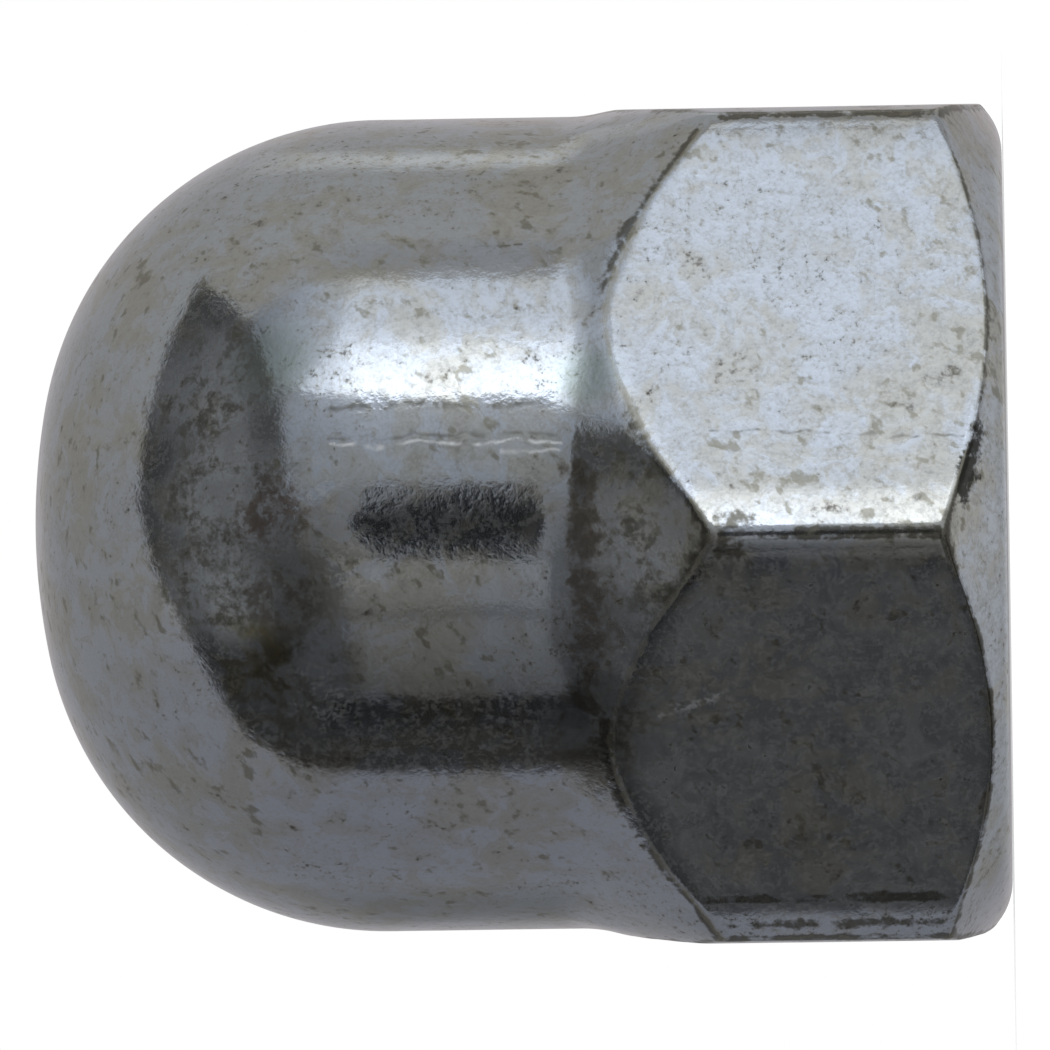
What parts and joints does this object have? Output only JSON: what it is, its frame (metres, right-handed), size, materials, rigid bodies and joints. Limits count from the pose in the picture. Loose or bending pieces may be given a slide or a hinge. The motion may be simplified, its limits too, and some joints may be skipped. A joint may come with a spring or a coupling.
{
  "type": "cap nut",
  "caption": "Hexagonal cap nut with a domed, closed end and a blind metric threaded hole, for covering and clamping onto a screw's end.",
  "frame": {"origin": "centre of the bearing face, on the thread's axis", "axes": "+Z along the axis from the bearing face towards the dome; +X out of a flat; +Y through a corner"},
  "size_m": [0.013, 0.0148, 0.0153],
  "materials": {
    "zinc_plated_steel": "bright zinc plate over cold-formed steel, semi-gloss, with faint scratches, pits and small stains"
  },
  "bodies": {
    "root": {"cap_nut": "zinc_plated_steel"}
  },
  "joints": []
}
